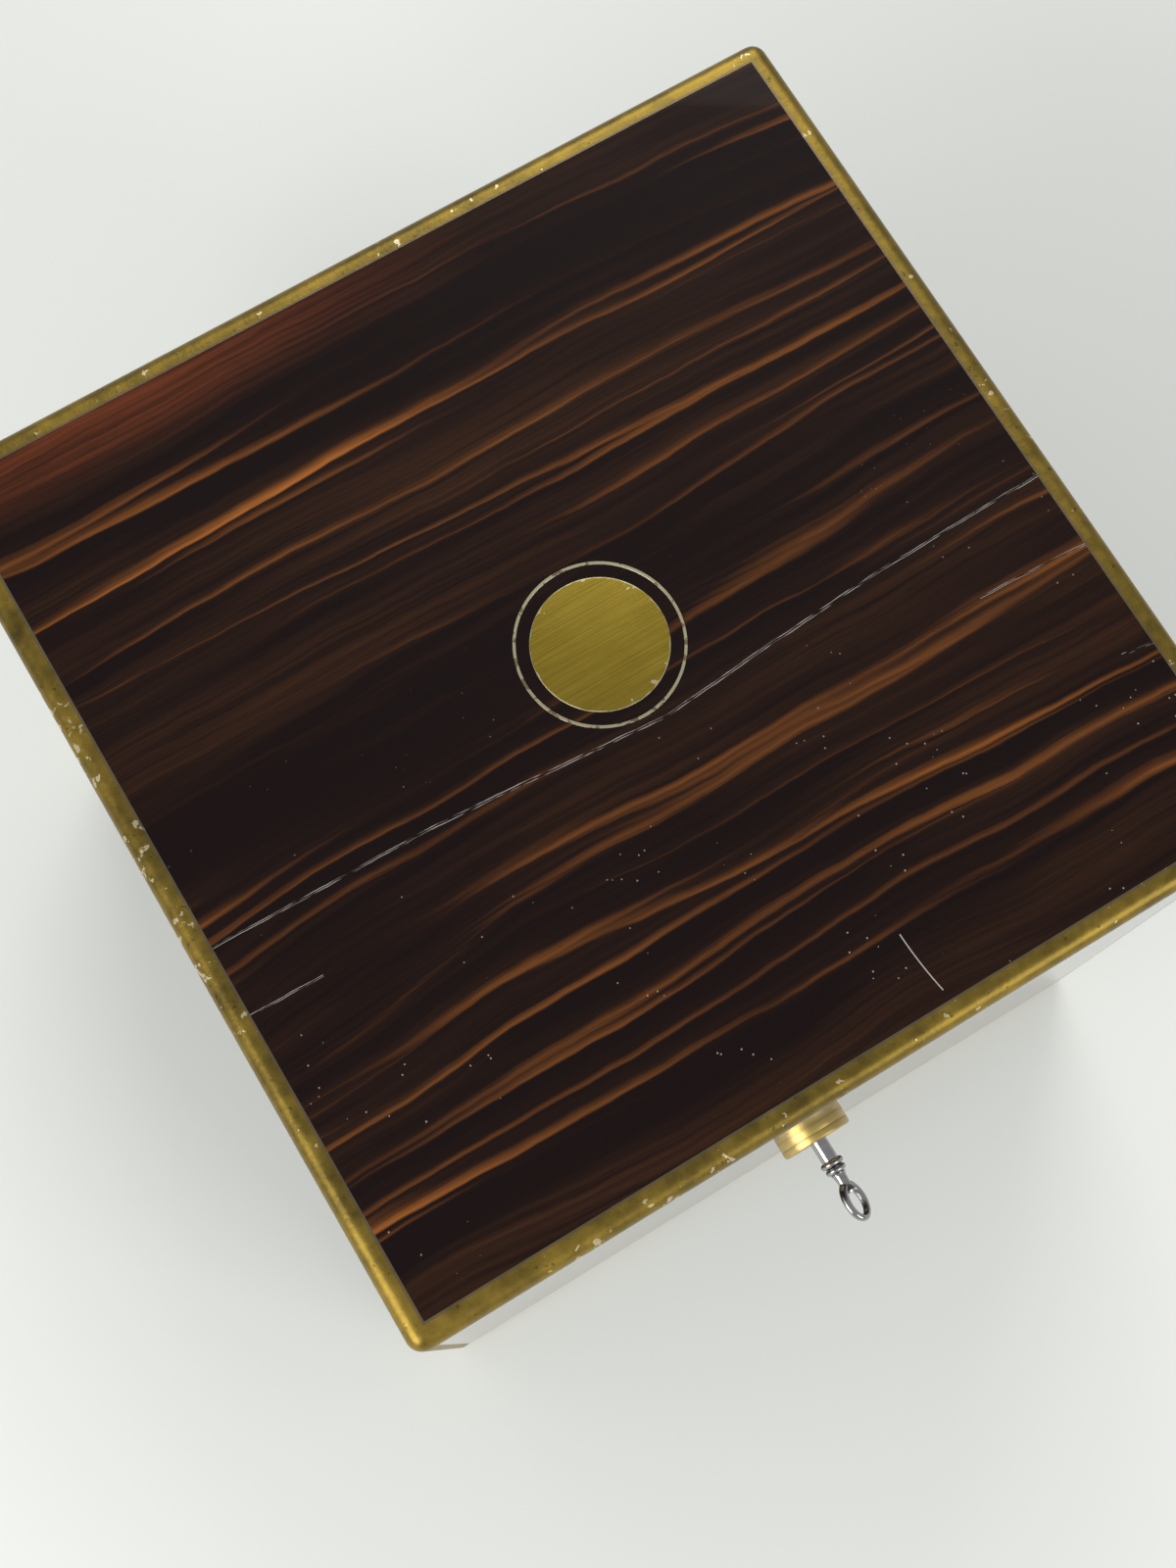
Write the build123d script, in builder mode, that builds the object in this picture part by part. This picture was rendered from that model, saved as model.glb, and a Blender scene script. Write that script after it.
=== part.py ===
# Square decanter box in dark streaked veneer with rounded brass edging.
# The lid is hinged at the back and locked at the front by a pipe key.
# Millimetres. X runs along the front, +Y to the back, +Z up.
# The origin is the centre of the baize under the box.
import os
from math import atan2, cos, degrees, radians, sin, sqrt

from build123d import *

os.makedirs("parts", exist_ok=True)

# Outside of the box
box_width = 240.0
box_depth = 240.0
base_height = 142.0
lid_height = 98.0
baize = 1.0

# Carcass, veneer and lining
board = 11.0
veneer = 1.0
rim_facing = 1.5
lining = 2.0
divider = 6.0
divider_top = 112.0
divider_fit = 0.1

# Brass edging
edging = 5.8
edging_round = 4.0

# Inlay on the lid
inlay = 0.7
plate_radius = 17.0
ring_radius = 20.5
ring_width = 1.0

# Fits
running = 0.05
sliding = 0.1
loose = 0.3

# Hinges
hinge_apart = 140.0
hinge_length = 40.0
hinge_set_out = 0.8
knuckles = 5
knuckle_radius = 2.6
pin_radius = 1.0
leaf = rim_facing
leaf_width = 10.5

# Screws
screw_shank = 1.1
screw_head = 2.2
screw_head_height = 1.1
screw_length = 8.0
screw_sink = 0.1
driver_slot = 0.5
hinge_screw_pitch = 13.0
hinge_screw_back = 6.8

# Lock
lock_drop = 22.0
lock_case_length = 60.0
lock_case_height = 32.5
lock_case_depth = 9.0
lock_wall = 1.2
boss_radius = 10.5
boss_proud = 4.5
boss_stem = 8.0
boss_break = 0.4
barrel_radius = 5.2
barrel_flange = 6.2
barrel_flange_thick = 1.4
barrel_sink = 0.3
post_radius = 1.5
keyway_depth = 9.0
cam_radius = 4.0
cam_pin = 1.2
cam_slot = 3.0
cam_past = 0.6
cam_sweep = 90.0
bolt_thick = 2.0
bolt_finger = 4.0
bolt_finger_length = 6.0
bolt_post = 4.0
bolt_bar_up = 4.0
staple_apart = 30.0
staple_thick = 2.5
staple_width = 5.4
staple_drop = 10.0
staple_eye_wide = 3.0
staple_eye_high = 5.0
staple_play = 0.6
guide_inset = 9.0
guide_side = 8.0
guide_drop = 5.0
eye_foot = 2.0
cam_slot_drop = 0.6
cam_slot_run = 2.4
bolt_end = 4.0
lock_plate_length = 76.0
lock_plate_width = 10.6
lock_screw_apart = 66.0

# Key
pipe_radius = 2.5
pipe_bore = 1.58
key_in = 8.6
lug_width = 1.2
lug_rise = 1.2
lug_length = 3.5
key_stem = 6.2
bead_radius = 3.5
small_bead_radius = 3.1
neck_root_radius = 2.2
bead_length = 2.0
neck_length = 5.2
neck_radius = 1.5
bow_long = 12.4
bow_wide = 9.8
bow_stock = 2.3
bow_turn = 45.0

# Decanters
decanter_play = 5.5
decanter_corner = 9.0
decanter_body = 116.0
shoulder = 18.0
neck_height = 30.0
neck_across = 28.0
lip_radius = 17.0
lip_height = 4.0
lip_break = 1.0
glass_wall = 8.0
glass_base = 10.0
cut_count = 7
cut_margin = 10.0
cut_depth = 3.0
cut_low = 12.0
cut_height = 62.0
mouth_radius = 9.0
stopper_fit = 0.08
plug_length = 16.0
stopper_collar = 12.0
stopper_collar_height = 3.0
stopper_waist = 6.0
stopper_waist_height = 6.0
stopper_head_radius = 13.5
stopper_under_height = 8.0
stopper_crown_height = 12.0
stopper_table = 7.0

# Places that follow from the sizes above
half_width = box_width / 2
half_depth = box_depth / 2
box_height = base_height + lid_height
carcass_x = half_width - veneer
carcass_y = half_depth - veneer
inner_x = carcass_x - board
inner_y = carcass_y - board
room_x = inner_x - lining
room_y = inner_y - lining
panel_x = half_width - edging
panel_y = half_depth - edging
rail_top = baize + edging
floor_top = baize + board
room_floor = floor_top + lining
case_rim = base_height - rim_facing
lid_rim = base_height + rim_facing
lid_carcass_top = box_height - veneer
top_board_under = lid_carcass_top - board
lid_rail = box_height - edging
lid_room_top = top_board_under - lining

hinge_y = half_depth + hinge_set_out
leaf_front = hinge_y - leaf_width
knuckle_pitch = hinge_length / knuckles
pocket_radius = knuckle_radius + loose
hinge_screw_y = hinge_y - hinge_screw_back

lock_z = base_height - lock_drop
lock_back_y = -inner_y
lock_front_y = lock_back_y - lock_case_depth
lock_cavity_front = lock_front_y + lock_wall
lock_cavity_back = lock_back_y - lock_wall
bolt_y = (lock_cavity_front + lock_cavity_back) / 2
lock_case_under = case_rim - lock_case_height
boss_face_y = -half_depth - boss_proud
barrel_face_y = boss_face_y + barrel_sink
plate_y = -carcass_y + lock_plate_width / 2 + veneer
bolt_floor = lock_case_under + lock_wall + sliding
eye_z = base_height - staple_drop + eye_foot + staple_eye_high / 2

cell_x = (room_x + divider / 2) / 2
cell_y = (room_y + divider / 2) / 2
decanter_side = min(room_x, room_y) - divider / 2 - 2 * decanter_play
cut_pitch = (decanter_side - 2 * (decanter_corner + cut_margin)) / (cut_count - 1)
shoulder_z = room_floor + decanter_body
neck_z = shoulder_z + shoulder
lip_z = neck_z + neck_height
decanter_top = lip_z + lip_height
stopper_girdle = (
    decanter_top + stopper_collar_height + stopper_waist_height + stopper_under_height
)
crown_taper = degrees(atan2(stopper_head_radius - stopper_table, stopper_crown_height))
under_taper = degrees(atan2(stopper_head_radius - stopper_waist, stopper_under_height))

hinge_places = (-hinge_apart / 2, hinge_apart / 2)
hinge_screws = [
    (x + step * hinge_screw_pitch, hinge_screw_y)
    for x in hinge_places
    for step in (-1, 0, 1)
]
lock_screw_places = [(-lock_screw_apart / 2, plate_y), (lock_screw_apart / 2, plate_y)]
cells = [(-cell_x, -cell_y), (cell_x, -cell_y), (-cell_x, cell_y), (cell_x, cell_y)]


def save(piece, name):
    """Label a finished piece and write it to its file."""
    piece.part.label = name
    export_step(piece.part, f"parts/{name}.step")


def block(x_span, y_span, z_span, mode=Mode.ADD):
    """A rectangular block between two values on each axis."""
    size = [high - low for low, high in (x_span, y_span, z_span)]
    with Locations((x_span[0], y_span[0], z_span[0])):
        Box(*size, align=(Align.MIN, Align.MIN, Align.MIN), mode=mode)


def cut_edging(rail_low, rail_high, low, high):
    """Rebates for the rail round the box and for the four corner strips."""
    with BuildSketch(Plane.XY.offset(rail_low)) as rails:
        Rectangle(box_width, box_depth)
        Rectangle(2 * panel_x, 2 * panel_y, mode=Mode.SUBTRACT)
    extrude(rails.sketch, amount=rail_high - rail_low, mode=Mode.SUBTRACT)
    with BuildSketch(Plane.XY.offset(low)) as strips:
        with GridLocations(box_width - edging, box_depth - edging, 2, 2):
            Rectangle(edging, edging)
    extrude(strips.sketch, amount=high - low, mode=Mode.SUBTRACT)


def cut_knuckle_pockets():
    """Round pockets along the back rim that the hinge knuckles turn in."""
    for x in hinge_places:
        with BuildSketch(Plane.YZ.offset(x - hinge_length / 2 - loose)) as pocket:
            with Locations((hinge_y, base_height)):
                Circle(pocket_radius)
        extrude(pocket.sketch, amount=hinge_length + 2 * loose, mode=Mode.SUBTRACT)


def cut_leaf_beds(low, high):
    """Beds for the hinge leaves in the back rim."""
    for x in hinge_places:
        block(
            (x - hinge_length / 2, x + hinge_length / 2),
            (leaf_front, hinge_y),
            (low, high),
            Mode.SUBTRACT,
        )


def screws(places, z, drive, grow=0.0, mode=Mode.ADD):
    """Countersunk screws with their heads at z, driven down (1) or up (-1)."""
    narrow = screw_shank + grow
    wide = screw_head + grow
    radii = (narrow, wide) if drive > 0 else (wide, narrow)
    with Locations(*[(x, y, z - drive * screw_head_height / 2) for x, y in places]):
        Cone(radii[0], radii[1], screw_head_height, mode=mode)
    shank = screw_length - screw_head_height
    middle = z - drive * (screw_head_height + shank / 2)
    with Locations(*[(x, y, middle) for x, y in places]):
        Cylinder(narrow, shank, mode=mode)


def pilot_holes(places, rim, drive):
    """Holes for the screw shanks in the edge of a board."""
    depth = screw_sink + screw_length - rim_facing
    with Locations(*[(x, y, rim - drive * depth / 2) for x, y in places]):
        Cylinder(screw_shank + running, depth, mode=Mode.SUBTRACT)


def driver_slots(places, z, drive):
    """The slot across each screw head."""
    with Locations(*[(x, y, z - drive * driver_slot / 2) for x, y in places]):
        Box(2 * screw_head, driver_slot, driver_slot, mode=Mode.SUBTRACT)


def lock_plate_outline():
    """Round-ended plate let into the front rim."""
    with Locations((0, plate_y)):
        SlotOverall(lock_plate_length, lock_plate_width)


# Green baize under the box
with BuildPart() as base_baize:
    with BuildSketch():
        RectangleRounded(2 * panel_x, 2 * panel_y, edging_round)
    extrude(amount=baize)
save(base_baize, "base_baize")

# Bottom board between the walls
with BuildPart() as case_bottom_board:
    block((-inner_x, inner_x), (-inner_y, inner_y), (baize, floor_top))
save(case_bottom_board, "case_bottom_board")

# Front board of the base, with the mortise for the lock and the hole for its boss
with BuildPart() as case_front_board:
    block((-carcass_x, carcass_x), (-carcass_y, -inner_y), (baize, case_rim))
    cut_edging(baize, rail_top, baize, case_rim)
    block(
        (-lock_case_length / 2, lock_case_length / 2),
        (lock_front_y, lock_back_y),
        (lock_case_under, case_rim),
        Mode.SUBTRACT,
    )
    with BuildSketch(Plane.XZ.offset(carcass_y)):
        with Locations((0, lock_z)):
            Circle(boss_stem)
    extrude(amount=-board, mode=Mode.SUBTRACT)
    pilot_holes(lock_screw_places, case_rim, 1)
save(case_front_board, "case_front_board")

# Back board of the base
with BuildPart() as case_back_board:
    block((-carcass_x, carcass_x), (inner_y, carcass_y), (baize, case_rim))
    cut_edging(baize, rail_top, baize, case_rim)
    cut_knuckle_pockets()
    pilot_holes(hinge_screws, case_rim, 1)
save(case_back_board, "case_back_board")

# Side boards of the base
with BuildPart() as case_side_boards:
    block((-carcass_x, -inner_x), (-inner_y, inner_y), (baize, case_rim))
    mirror(about=Plane.YZ)
    cut_edging(baize, rail_top, baize, case_rim)
save(case_side_boards, "case_side_boards")

# Veneer on the four sides of the base
with BuildPart() as case_veneer:
    with BuildSketch(Plane.XY.offset(rail_top)):
        Rectangle(box_width, box_depth)
        Rectangle(2 * carcass_x, 2 * carcass_y, mode=Mode.SUBTRACT)
    extrude(amount=base_height - rail_top)
    cut_edging(baize, rail_top, baize, base_height)
    with BuildSketch(Plane.XZ.offset(half_depth)):
        with Locations((0, lock_z)):
            Circle(boss_stem)
    extrude(amount=-veneer, mode=Mode.SUBTRACT)
    cut_knuckle_pockets()
    cut_leaf_beds(base_height - leaf, base_height)
save(case_veneer, "case_veneer")

# Hardwood facing round the rim of the base
with BuildPart() as case_rim_facing:
    with BuildSketch(Plane.XY.offset(case_rim)):
        Rectangle(2 * carcass_x, 2 * carcass_y)
        Rectangle(2 * room_x, 2 * room_y, mode=Mode.SUBTRACT)
    extrude(amount=rim_facing)
    cut_edging(baize, rail_top, baize, base_height)
    with BuildSketch(Plane.XY.offset(case_rim)):
        lock_plate_outline()
    extrude(amount=rim_facing, mode=Mode.SUBTRACT)
    cut_knuckle_pockets()
    cut_leaf_beds(base_height - leaf, base_height)
save(case_rim_facing, "case_rim_facing")

# Brass strips up the corners of the base, ball-rounded at the foot
with BuildPart() as case_corner_edging:
    block(
        (-half_width, -panel_x), (-half_depth, -panel_y), (baize, base_height)
    )
    foot_edges = edges().group_by(Axis.Z)[0]
    fillet(
        foot_edges.group_by(Axis.X)[0]
        + foot_edges.group_by(Axis.Y)[0]
        + edges().filter_by(Axis.Z).group_by(Axis.X)[0].group_by(Axis.Y)[0],
        radius=edging_round,
    )
    mirror(about=Plane.YZ)
    mirror(about=Plane.XZ)
save(case_corner_edging, "case_corner_edging")

# Brass rails round the foot of the base
with BuildPart() as case_bottom_edging:
    with BuildSketch(Plane.YZ.offset(-panel_x)):
        with Locations((-half_depth, baize)):
            Rectangle(edging, edging, align=(Align.MIN, Align.MIN))
    extrude(amount=2 * panel_x)
    fillet(edges().filter_by(Axis.X).group_by(Axis.Y)[0].group_by(Axis.Z)[0], edging_round)
    mirror(about=Plane.XZ)
    with BuildSketch(Plane.XZ.offset(-panel_y)):
        with Locations((-half_width, baize)):
            Rectangle(edging, edging, align=(Align.MIN, Align.MIN))
    extrude(amount=2 * panel_y)
    fillet(edges().filter_by(Axis.Y).group_by(Axis.X)[0].group_by(Axis.Z)[0], edging_round)
    with BuildSketch(Plane.XZ.offset(-panel_y)):
        with Locations((half_width, baize)):
            Rectangle(edging, edging, align=(Align.MAX, Align.MIN))
    extrude(amount=2 * panel_y)
    fillet(edges().filter_by(Axis.Y).group_by(Axis.X)[-1].group_by(Axis.Z)[0], edging_round)
save(case_bottom_edging, "case_bottom_edging")

# Lining of the base
with BuildPart() as case_lining_floor:
    block((-inner_x, inner_x), (-inner_y, inner_y), (floor_top, room_floor))
save(case_lining_floor, "case_lining_floor")

with BuildPart() as case_lining_walls:
    with BuildSketch(Plane.XY.offset(room_floor)):
        Rectangle(2 * inner_x, 2 * inner_y)
        Rectangle(2 * room_x, 2 * room_y, mode=Mode.SUBTRACT)
    extrude(amount=case_rim - room_floor)
save(case_lining_walls, "case_lining_walls")

# Dividers, halved into each other
divider_half = (room_floor + divider_top) / 2
with BuildPart() as divider_long:
    block((-room_x, room_x), (-divider / 2, divider / 2), (room_floor, divider_top))
    block(
        (-divider / 2 - divider_fit, divider / 2 + divider_fit),
        (-divider, divider),
        (divider_half, divider_top),
        Mode.SUBTRACT,
    )
save(divider_long, "divider_long")

with BuildPart() as divider_cross:
    block((-divider / 2, divider / 2), (-room_y, room_y), (room_floor, divider_top))
    block(
        (-divider, divider),
        (-divider / 2 - divider_fit, divider / 2 + divider_fit),
        (room_floor, divider_half),
        Mode.SUBTRACT,
    )
save(divider_cross, "divider_cross")

# Lock case, open at the top where the plate covers it, with two bolt guides
guide_x = lock_case_length / 2 - guide_inset
with BuildPart() as lock_case:
    block(
        (-lock_case_length / 2, lock_case_length / 2),
        (lock_front_y, lock_back_y),
        (lock_case_under, case_rim),
    )
    offset(amount=-lock_wall, openings=faces().sort_by(Axis.Z)[-1])
    with BuildSketch(Plane.XZ.offset(-lock_cavity_back)):
        with Locations((-guide_x, lock_z - guide_drop), (guide_x, lock_z - guide_drop)):
            Rectangle(guide_side, guide_side)
    extrude(amount=lock_cavity_back - bolt_y - bolt_thick / 2 - sliding)
    with BuildSketch(Plane.XZ.offset(-lock_cavity_front)):
        with Locations((0, lock_z)):
            Circle(barrel_radius + running)
    extrude(amount=lock_wall, mode=Mode.SUBTRACT)
save(lock_case, "lock_case")

# Brass plate in the front rim, slotted for the two staples
with BuildPart() as lock_plate:
    with BuildSketch(Plane.XY.offset(case_rim)):
        lock_plate_outline()
        with Locations((-staple_apart / 2, bolt_y), (staple_apart / 2, bolt_y)):
            Rectangle(
                staple_thick + 2 * staple_play,
                staple_width + 2 * staple_play,
                mode=Mode.SUBTRACT,
            )
    extrude(amount=rim_facing)
    screws(lock_screw_places, base_height - screw_sink, 1, running, Mode.SUBTRACT)
save(lock_plate, "lock_plate")

with BuildPart() as lock_screws:
    screws(lock_screw_places, base_height - screw_sink, 1)
    driver_slots(lock_screw_places, base_height - screw_sink, 1)
save(lock_screws, "lock_screws")

# Turned brass boss round the keyhole
with BuildPart() as lock_boss:
    with BuildSketch(Plane.XZ.offset(half_depth)):
        with Locations((0, lock_z)):
            Circle(boss_radius)
    extrude(amount=boss_proud)
    chamfer(faces().sort_by(Axis.Y)[0].edges(), boss_break)
    with BuildSketch(Plane.XZ.offset(half_depth)):
        with Locations((0, lock_z)):
            Circle(boss_stem)
    extrude(amount=lock_front_y + half_depth, dir=(0, 1, 0))
    with BuildSketch(Plane.XZ.offset(-boss_face_y)):
        with Locations((0, lock_z)):
            Circle(barrel_radius + running)
    extrude(amount=board * 2, dir=(0, 1, 0), mode=Mode.SUBTRACT)
save(lock_boss, "lock_boss")

# Barrel that the key turns, with its centre post, keyway, flange and cam pin
flange_front = lock_cavity_front + 2 * sliding
flange_back = flange_front + barrel_flange_thick
cam_back = bolt_y + bolt_thick / 2 + cam_past
cam_x = -cam_radius * sin(radians(cam_sweep / 2))
cam_z = lock_z - cam_radius * cos(radians(cam_sweep / 2))
with BuildPart() as lock_barrel:
    with BuildSketch(Plane.XZ.offset(-barrel_face_y)):
        with Locations((0, lock_z)):
            Circle(barrel_radius)
    extrude(amount=flange_front - barrel_face_y, dir=(0, 1, 0))
    with BuildSketch(Plane.XZ.offset(-barrel_face_y)):
        with Locations((0, lock_z)):
            Circle(pipe_radius + sliding)
            Circle(post_radius, mode=Mode.SUBTRACT)
        with Locations((0, lock_z - pipe_radius - lug_rise - sliding)):
            Rectangle(
                lug_width + 2 * sliding, lug_rise + sliding, align=(Align.CENTER, Align.MIN)
            )
    extrude(amount=keyway_depth, dir=(0, 1, 0), mode=Mode.SUBTRACT)
    with BuildSketch(Plane.XZ.offset(-flange_front)):
        with Locations((0, lock_z)):
            Circle(barrel_flange)
    extrude(amount=barrel_flange_thick, dir=(0, 1, 0))
    with BuildSketch(Plane.XZ.offset(-flange_back)):
        with Locations((cam_x, cam_z)):
            Circle(cam_pin)
    extrude(amount=cam_back - flange_back, dir=(0, 1, 0))
save(lock_barrel, "lock_barrel")

# Bolt with two fingers that shoot through the staples, drawn unlocked
finger_top = eye_z + bolt_finger / 2
right_tip = staple_apart / 2 - staple_thick / 2 - staple_play
left_tip = -staple_apart / 2 - staple_thick / 2 - staple_play
bolt_left = left_tip - bolt_finger_length - bolt_post
bolt_right = right_tip + bolt_end
with BuildPart() as lock_bolt:
    with BuildSketch(Plane.XZ.offset(-bolt_y + bolt_thick / 2)):
        with BuildLine():
            Polyline(
                (bolt_left, bolt_floor),
                (bolt_right, bolt_floor),
                (bolt_right, lock_z + bolt_bar_up),
                (right_tip - bolt_finger_length, lock_z + bolt_bar_up),
                (right_tip - bolt_finger_length, finger_top - bolt_finger),
                (right_tip, finger_top - bolt_finger),
                (right_tip, finger_top),
                (right_tip - bolt_finger_length - bolt_post, finger_top),
                (right_tip - bolt_finger_length - bolt_post, lock_z + bolt_bar_up),
                (bolt_left + bolt_post, lock_z + bolt_bar_up),
                (bolt_left + bolt_post, finger_top - bolt_finger),
                (left_tip, finger_top - bolt_finger),
                (left_tip, finger_top),
                (bolt_left, finger_top),
                close=True,
            )
        make_face()
        with Locations((cam_x, lock_z - cam_radius + cam_slot_drop)):
            SlotCenterToCenter(cam_slot_run, cam_slot, rotation=90, mode=Mode.SUBTRACT)
    extrude(amount=-bolt_thick)
save(lock_bolt, "lock_bolt")

# Case leaves of the two hinges, with the first, third and fifth knuckles
def hinge_half(low, high, own, other):
    """Leaves and knuckles of both hinges, bored for the pins."""
    for x in hinge_places:
        left = x - hinge_length / 2
        block((left, left + hinge_length), (leaf_front, hinge_y), (low, high))
        for index in other:
            with BuildSketch(Plane.YZ.offset(left + index * knuckle_pitch - sliding)) as room:
                with Locations((hinge_y, base_height)):
                    Circle(knuckle_radius + sliding)
            extrude(room.sketch, amount=knuckle_pitch + 2 * sliding, mode=Mode.SUBTRACT)
        for index in own:
            with BuildSketch(Plane.YZ.offset(left + index * knuckle_pitch)) as knuckle:
                with Locations((hinge_y, base_height)):
                    Circle(knuckle_radius)
            extrude(knuckle.sketch, amount=knuckle_pitch)
        with BuildSketch(Plane.YZ.offset(left)) as bore:
            with Locations((hinge_y, base_height)):
                Circle(pin_radius + running)
        extrude(bore.sketch, amount=hinge_length, mode=Mode.SUBTRACT)


with BuildPart() as case_hinge_leaves:
    hinge_half(base_height - leaf, base_height, range(0, knuckles, 2), range(1, knuckles, 2))
    screws(hinge_screws, base_height - screw_sink, 1, running, Mode.SUBTRACT)
save(case_hinge_leaves, "case_hinge_leaves")

with BuildPart() as lid_hinge_leaves:
    hinge_half(base_height, base_height + leaf, range(1, knuckles, 2), range(0, knuckles, 2))
    screws(hinge_screws, base_height + screw_sink, -1, running, Mode.SUBTRACT)
save(lid_hinge_leaves, "lid_hinge_leaves")

with BuildPart() as hinge_pins:
    for x in hinge_places:
        with BuildSketch(Plane.YZ.offset(x - hinge_length / 2)):
            with Locations((hinge_y, base_height)):
                Circle(pin_radius)
        extrude(amount=hinge_length)
save(hinge_pins, "hinge_pins")

with BuildPart() as case_hinge_screws:
    screws(hinge_screws, base_height - screw_sink, 1)
    driver_slots(hinge_screws, base_height - screw_sink, 1)
save(case_hinge_screws, "case_hinge_screws")

with BuildPart() as lid_hinge_screws:
    screws(hinge_screws, base_height + screw_sink, -1)
    driver_slots(hinge_screws, base_height + screw_sink, -1)
save(lid_hinge_screws, "lid_hinge_screws")

# Boards of the lid
with BuildPart() as lid_front_board:
    block((-carcass_x, carcass_x), (-carcass_y, -inner_y), (lid_rim, lid_carcass_top))
    cut_edging(lid_rail, box_height, lid_rim, box_height)
    pilot_holes(lock_screw_places, lid_rim, -1)
save(lid_front_board, "lid_front_board")

with BuildPart() as lid_back_board:
    block((-carcass_x, carcass_x), (inner_y, carcass_y), (lid_rim, lid_carcass_top))
    cut_edging(lid_rail, box_height, lid_rim, box_height)
    cut_knuckle_pockets()
    pilot_holes(hinge_screws, lid_rim, -1)
save(lid_back_board, "lid_back_board")

with BuildPart() as lid_side_boards:
    block((-carcass_x, -inner_x), (-inner_y, inner_y), (lid_rim, lid_carcass_top))
    mirror(about=Plane.YZ)
    cut_edging(lid_rail, box_height, lid_rim, box_height)
save(lid_side_boards, "lid_side_boards")

with BuildPart() as lid_top_board:
    block((-inner_x, inner_x), (-inner_y, inner_y), (top_board_under, lid_carcass_top))
save(lid_top_board, "lid_top_board")

# Veneer on the sides of the lid
with BuildPart() as lid_side_veneer:
    with BuildSketch(Plane.XY.offset(base_height)):
        Rectangle(box_width, box_depth)
        Rectangle(2 * carcass_x, 2 * carcass_y, mode=Mode.SUBTRACT)
    extrude(amount=lid_rail - base_height)
    cut_edging(lid_rail, box_height, base_height, box_height)
    cut_knuckle_pockets()
    cut_leaf_beds(base_height, base_height + leaf)
save(lid_side_veneer, "lid_side_veneer")

# Veneer on the top, recessed for the plate and the ring
with BuildPart() as lid_top_veneer:
    with BuildSketch(Plane.XY.offset(lid_carcass_top)):
        Rectangle(2 * panel_x, 2 * panel_y)
    extrude(amount=veneer)
    with BuildSketch(Plane.XY.offset(box_height)):
        Circle(plate_radius)
        Circle(ring_radius + ring_width / 2)
        Circle(ring_radius - ring_width / 2, mode=Mode.SUBTRACT)
        Circle(plate_radius)
    extrude(amount=-inlay, mode=Mode.SUBTRACT)
save(lid_top_veneer, "lid_top_veneer")

# Blank round plate for initials and the thin ring round it
with BuildPart() as initial_plate:
    with BuildSketch(Plane.XY.offset(box_height - inlay)):
        Circle(plate_radius)
    extrude(amount=inlay)
    chamfer(faces().sort_by(Axis.Z)[-1].edges(), inlay / 3)
save(initial_plate, "initial_plate")

with BuildPart() as stringing_ring:
    with BuildSketch(Plane.XY.offset(box_height - inlay)):
        Circle(ring_radius + ring_width / 2)
        Circle(ring_radius - ring_width / 2, mode=Mode.SUBTRACT)
    extrude(amount=inlay)
save(stringing_ring, "stringing_ring")

# Brass strips up the corners of the lid, each with a ball-rounded top
with BuildPart() as lid_corner_edging:
    block((-half_width, -panel_x), (-half_depth, -panel_y), (base_height, box_height))
    head_edges = edges().group_by(Axis.Z)[-1]
    fillet(
        head_edges.group_by(Axis.X)[0]
        + head_edges.group_by(Axis.Y)[0]
        + edges().filter_by(Axis.Z).group_by(Axis.X)[0].group_by(Axis.Y)[0],
        radius=edging_round,
    )
    mirror(about=Plane.YZ)
    mirror(about=Plane.XZ)
save(lid_corner_edging, "lid_corner_edging")

# Brass rails round the top, butted between the corner strips
with BuildPart() as lid_top_edging:
    with BuildSketch(Plane.YZ.offset(-panel_x)):
        with Locations((-half_depth, box_height)):
            Rectangle(edging, edging, align=(Align.MIN, Align.MAX))
    extrude(amount=2 * panel_x)
    fillet(edges().filter_by(Axis.X).group_by(Axis.Y)[0].group_by(Axis.Z)[-1], edging_round)
    mirror(about=Plane.XZ)
    with BuildSketch(Plane.XZ.offset(-panel_y)):
        with Locations((-half_width, box_height)):
            Rectangle(edging, edging, align=(Align.MIN, Align.MAX))
    extrude(amount=2 * panel_y)
    fillet(edges().filter_by(Axis.Y).group_by(Axis.X)[0].group_by(Axis.Z)[-1], edging_round)
    with BuildSketch(Plane.XZ.offset(-panel_y)):
        with Locations((half_width, box_height)):
            Rectangle(edging, edging, align=(Align.MAX, Align.MAX))
    extrude(amount=2 * panel_y)
    fillet(edges().filter_by(Axis.Y).group_by(Axis.X)[-1].group_by(Axis.Z)[-1], edging_round)
save(lid_top_edging, "lid_top_edging")

# Hardwood facing round the rim of the lid
with BuildPart() as lid_rim_facing:
    with BuildSketch(Plane.XY.offset(base_height)):
        Rectangle(2 * carcass_x, 2 * carcass_y)
        Rectangle(2 * room_x, 2 * room_y, mode=Mode.SUBTRACT)
    extrude(amount=rim_facing)
    cut_edging(lid_rail, box_height, base_height, box_height)
    with BuildSketch(Plane.XY.offset(base_height)):
        lock_plate_outline()
    extrude(amount=rim_facing, mode=Mode.SUBTRACT)
    cut_knuckle_pockets()
    cut_leaf_beds(base_height, base_height + leaf)
save(lid_rim_facing, "lid_rim_facing")

# Lining of the lid
with BuildPart() as lid_lining_walls:
    with BuildSketch(Plane.XY.offset(lid_rim)):
        Rectangle(2 * inner_x, 2 * inner_y)
        Rectangle(2 * room_x, 2 * room_y, mode=Mode.SUBTRACT)
    extrude(amount=lid_room_top - lid_rim)
save(lid_lining_walls, "lid_lining_walls")

with BuildPart() as lid_lining_top:
    block((-inner_x, inner_x), (-inner_y, inner_y), (lid_room_top, top_board_under))
save(lid_lining_top, "lid_lining_top")

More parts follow.
